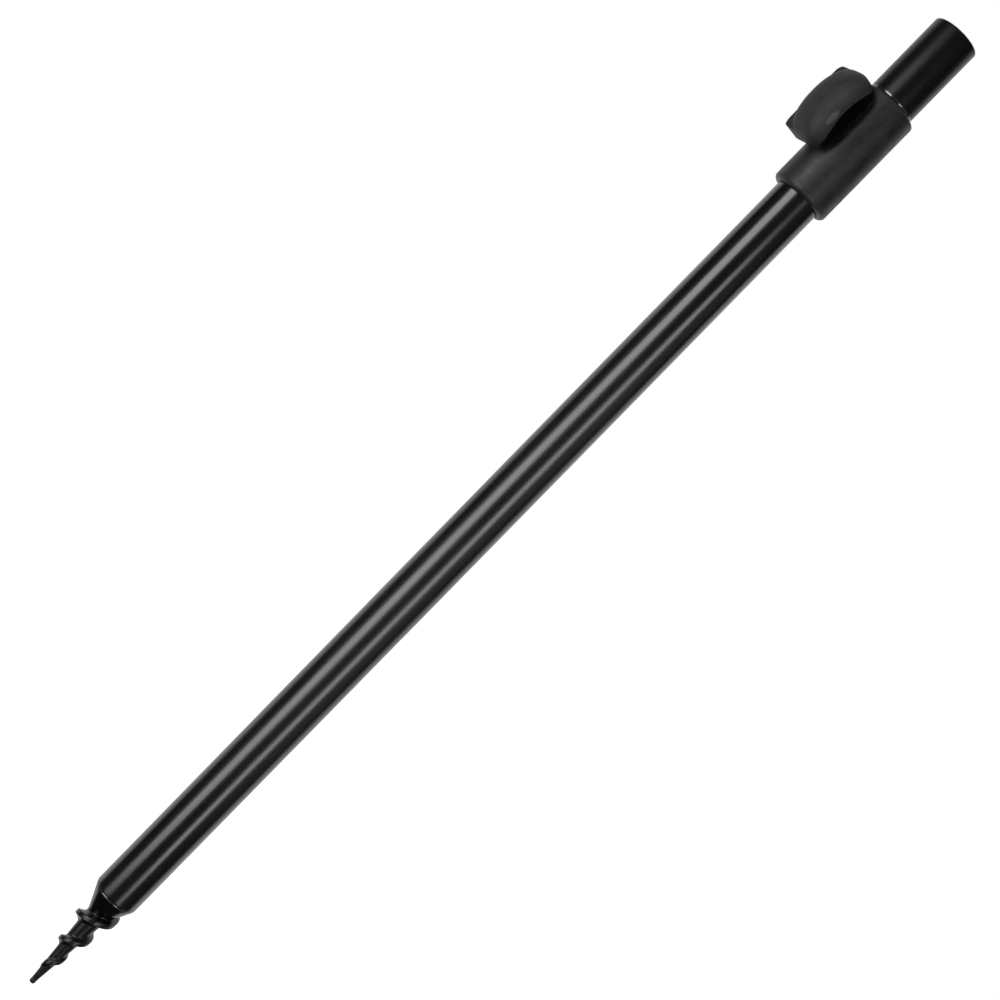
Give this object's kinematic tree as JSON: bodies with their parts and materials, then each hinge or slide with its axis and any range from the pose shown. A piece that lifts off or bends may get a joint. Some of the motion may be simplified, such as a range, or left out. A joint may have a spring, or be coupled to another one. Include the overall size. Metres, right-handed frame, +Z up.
{
  "type": "bank stick",
  "caption": "Telescopic bank stick with a screw-in auger point, a sliding inner tube clamped by a thumb screw in a collar, and a threaded head for a rod rest or bite alarm.",
  "frame": {"origin": "tip of the auger point, on the stick's axis", "axes": "+Z up the stick from the tip to the head; the thumb screw stands off along -X"},
  "size_m": [0.0392, 0.0248, 0.5006],
  "materials": {
    "gloss_black": "gloss black anodised",
    "satin_black": "satin black anodised",
    "moulded_black": "moulded, matte",
    "nylon": "natural",
    "brass": "turned",
    "steel": "turned"
  },
  "bodies": {
    "stand": {"auger_point": "gloss_black", "outer_tube": "gloss_black", "collar": "moulded_black", "guide_ring": "nylon", "screw_insert": "brass"},
    "plug": {"guide_plug": "nylon"},
    "mast": {"inner_tube": "satin_black", "head": "satin_black", "head_socket": "brass"},
    "pad": {"pressure_pad": "nylon"},
    "knob": {"clamp_screw": "steel", "thumb_knob": "moulded_black"}
  },
  "joints": [
    {"name": "mast_slide", "type": "slide", "parent": "stand", "child": "plug", "axis": [0, 0, 1], "range_m": [0, 0.344]},
    {"name": "mast_turn", "type": "hinge", "parent": "plug", "child": "mast", "pos_m": [0, 0, 0.48], "axis": [0, 0, 1], "continuous": true},
    {"name": "pad_slide", "type": "slide", "parent": "stand", "child": "pad", "axis": [-1, 0, 0], "range_m": [0, 0.0015]},
    {"name": "knob_turn", "type": "hinge", "parent": "pad", "child": "knob", "pos_m": [0, 0, 0.447], "axis": [-1, 0, 0], "range_deg": [0, 540]}
  ],
  "couplings": [
    {"joint": "pad_slide", "follows": "knob_turn", "m_per_rad": 0.00015915}
  ]
}
